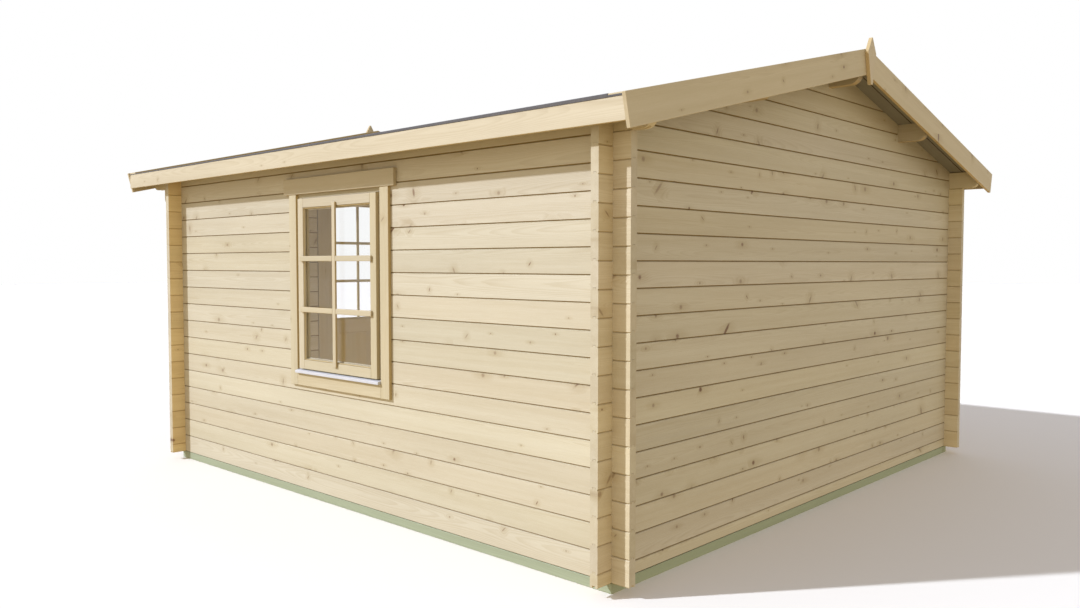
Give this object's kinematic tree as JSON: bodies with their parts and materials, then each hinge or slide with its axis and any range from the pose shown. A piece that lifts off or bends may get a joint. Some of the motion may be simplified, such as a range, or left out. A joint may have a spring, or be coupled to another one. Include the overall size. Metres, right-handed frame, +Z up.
{
  "type": "log cabin",
  "caption": "Square log cabin with crossed log corners, a low gabled felt roof, a barred window in one side wall and half-glazed double doors in the front gable.",
  "frame": {"origin": "on the ground under the middle of the overall box", "axes": "+Z up, -Y towards the door gable, +X towards the side wall with the window, +Y along the ridge to the back gable"},
  "size_m": [4.21, 4.472, 2.5471],
  "materials": {
    "wall_log": "planed, untreated",
    "foundation_wood": "planed, pressure treated",
    "roof_timber": "planed, untreated",
    "roof_board": "planed, untreated",
    "roof_felt": "mineral surfaced",
    "edge_board": "planed, untreated",
    "joinery": "planed, untreated",
    "trim_board": "planed, untreated",
    "glass": "clear",
    "sill": "matt",
    "threshold": "oiled hardwood",
    "metal": "satin"
  },
  "bodies": {
    "cabin": {"right_wall_odd_logs": "wall_log", "right_wall_even_logs": "wall_log", "left_wall_odd_logs": "wall_log", "left_wall_even_logs": "wall_log", "back_wall_odd_logs": "wall_log", "back_wall_even_logs": "wall_log", "front_wall_odd_logs": "wall_log", "front_wall_even_logs": "wall_log", "foundation_sides": "foundation_wood", "foundation_ends": "foundation_wood", "ridge_beam": "roof_timber", "purlins": "roof_timber", "right_roof_boards": "roof_board", "left_roof_boards": "roof_board", "right_roof_felt": "roof_felt", "left_roof_felt": "roof_felt", "fascia_boards": "edge_board", "back_bargeboards": "edge_board", "front_bargeboards": "edge_board", "gable_battens": "edge_board", "finials": "edge_board", "window_frame": "joinery", "window_sash": "joinery", "door_frame": "joinery", "window_trim": "trim_board", "window_head_board": "trim_board", "door_trim": "trim_board", "door_head_board": "trim_board", "window_glass": "glass", "window_sill": "sill", "door_threshold": "threshold", "frame_hinges": "metal"},
    "left_leaf": {"left_leaf_frame": "joinery", "left_leaf_panel": "joinery", "left_leaf_glass": "glass", "left_leaf_hinges": "metal"},
    "right_leaf": {"right_leaf_frame": "joinery", "right_leaf_panel": "joinery", "right_leaf_glass": "glass", "right_leaf_hinges": "metal", "door_handles": "metal"}
  },
  "joints": [
    {"name": "left_leaf_hinge", "type": "hinge", "parent": "cabin", "child": "left_leaf", "pos_m": [-0.696, -1.843, 1], "axis": [0, 0, -1], "range_deg": [0, 110]},
    {"name": "right_leaf_hinge", "type": "hinge", "parent": "cabin", "child": "right_leaf", "pos_m": [0.782, -1.843, 1], "axis": [0, 0, 1], "range_deg": [0, 110]}
  ]
}
